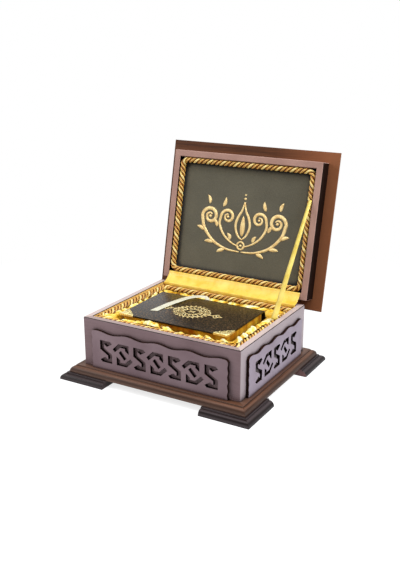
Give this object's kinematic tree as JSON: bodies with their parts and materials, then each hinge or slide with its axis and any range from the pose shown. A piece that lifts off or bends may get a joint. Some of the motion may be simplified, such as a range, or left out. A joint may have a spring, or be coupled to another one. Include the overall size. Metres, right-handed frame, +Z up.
{
  "type": "quran box",
  "caption": "Footed wooden keepsake box with interlaced fretwork sides, a hinged lid held open by a ribbon, a gathered satin bed, cord trim and a leather-bound book inside.",
  "frame": {"origin": "on the floor, under the middle of the box body", "axes": "+Z up, front towards -Y, +X to the right as seen from the front; the lid is stored open"},
  "size_m": [0.31, 0.3192, 0.3124],
  "materials": {
    "plum_paint": "satin paint on fibreboard",
    "fretwork_paint": "satin paint, scorched dark cut edges",
    "walnut": "satin walnut stain",
    "dark_walnut": "satin dark stain",
    "satin": "gold satin",
    "cord": "twisted cord in light gold and copper plies",
    "brass": "plain brass",
    "panel_cloth": "dark olive cloth on board with gold ornament",
    "foam": "padding",
    "leather": "grained black leather",
    "gilt_paper": "paper with gilt edges",
    "corner_metal": "pierced pale gold metal",
    "cream_cloth": "cream ribbon"
  },
  "bodies": {
    "box": {"front_wall": "plum_paint", "back_wall": "plum_paint", "left_wall": "plum_paint", "right_wall": "plum_paint", "front_fretwork": "fretwork_paint", "left_fretwork": "fretwork_paint", "right_fretwork": "fretwork_paint", "base_board": "walnut", "foot_front_left": "dark_walnut", "foot_front_right": "dark_walnut", "foot_back_left": "dark_walnut", "foot_back_right": "dark_walnut", "satin_surround": "satin", "hinge_flap": "satin", "lid_stay_ribbon": "satin", "box_cord_trim": "cord", "hinge_leaf_box_left": "brass", "hinge_leaf_box_right": "brass", "hinge_pin_left": "brass", "hinge_pin_right": "brass", "hinge_screws_box": "brass", "base_screws": "brass", "foot_screws": "brass", "foam_bed": "foam"},
    "lid": {"lid_front_rail": "plum_paint", "lid_back_rail": "plum_paint", "lid_left_rail": "plum_paint", "lid_right_rail": "plum_paint", "lid_board": "walnut", "lid_cord_trim": "cord", "hinge_leaf_lid_left": "brass", "hinge_leaf_lid_right": "brass", "hinge_screws_lid": "brass", "lid_panel": "panel_cloth", "lid_padding": "foam"},
    "book": {"book_front_cover": "leather", "book_back_cover": "leather", "book_spine": "leather", "text_block": "gilt_paper", "corner_protectors": "corner_metal", "endbands": "cream_cloth", "bookmark_ribbon": "cream_cloth"}
  },
  "joints": [
    {"name": "lid_hinge", "type": "hinge", "parent": "box", "child": "lid", "pos_m": [0, 0.108, 0.094], "axis": [1, 0, 0], "range_deg": [0, 102], "deforming": ["hinge_flap", "lid_stay_ribbon"]},
    {"name": "book_lift", "type": "slide", "parent": "box", "child": "book", "axis": [0, 0, 1], "range_m": [0, 0.008]}
  ]
}
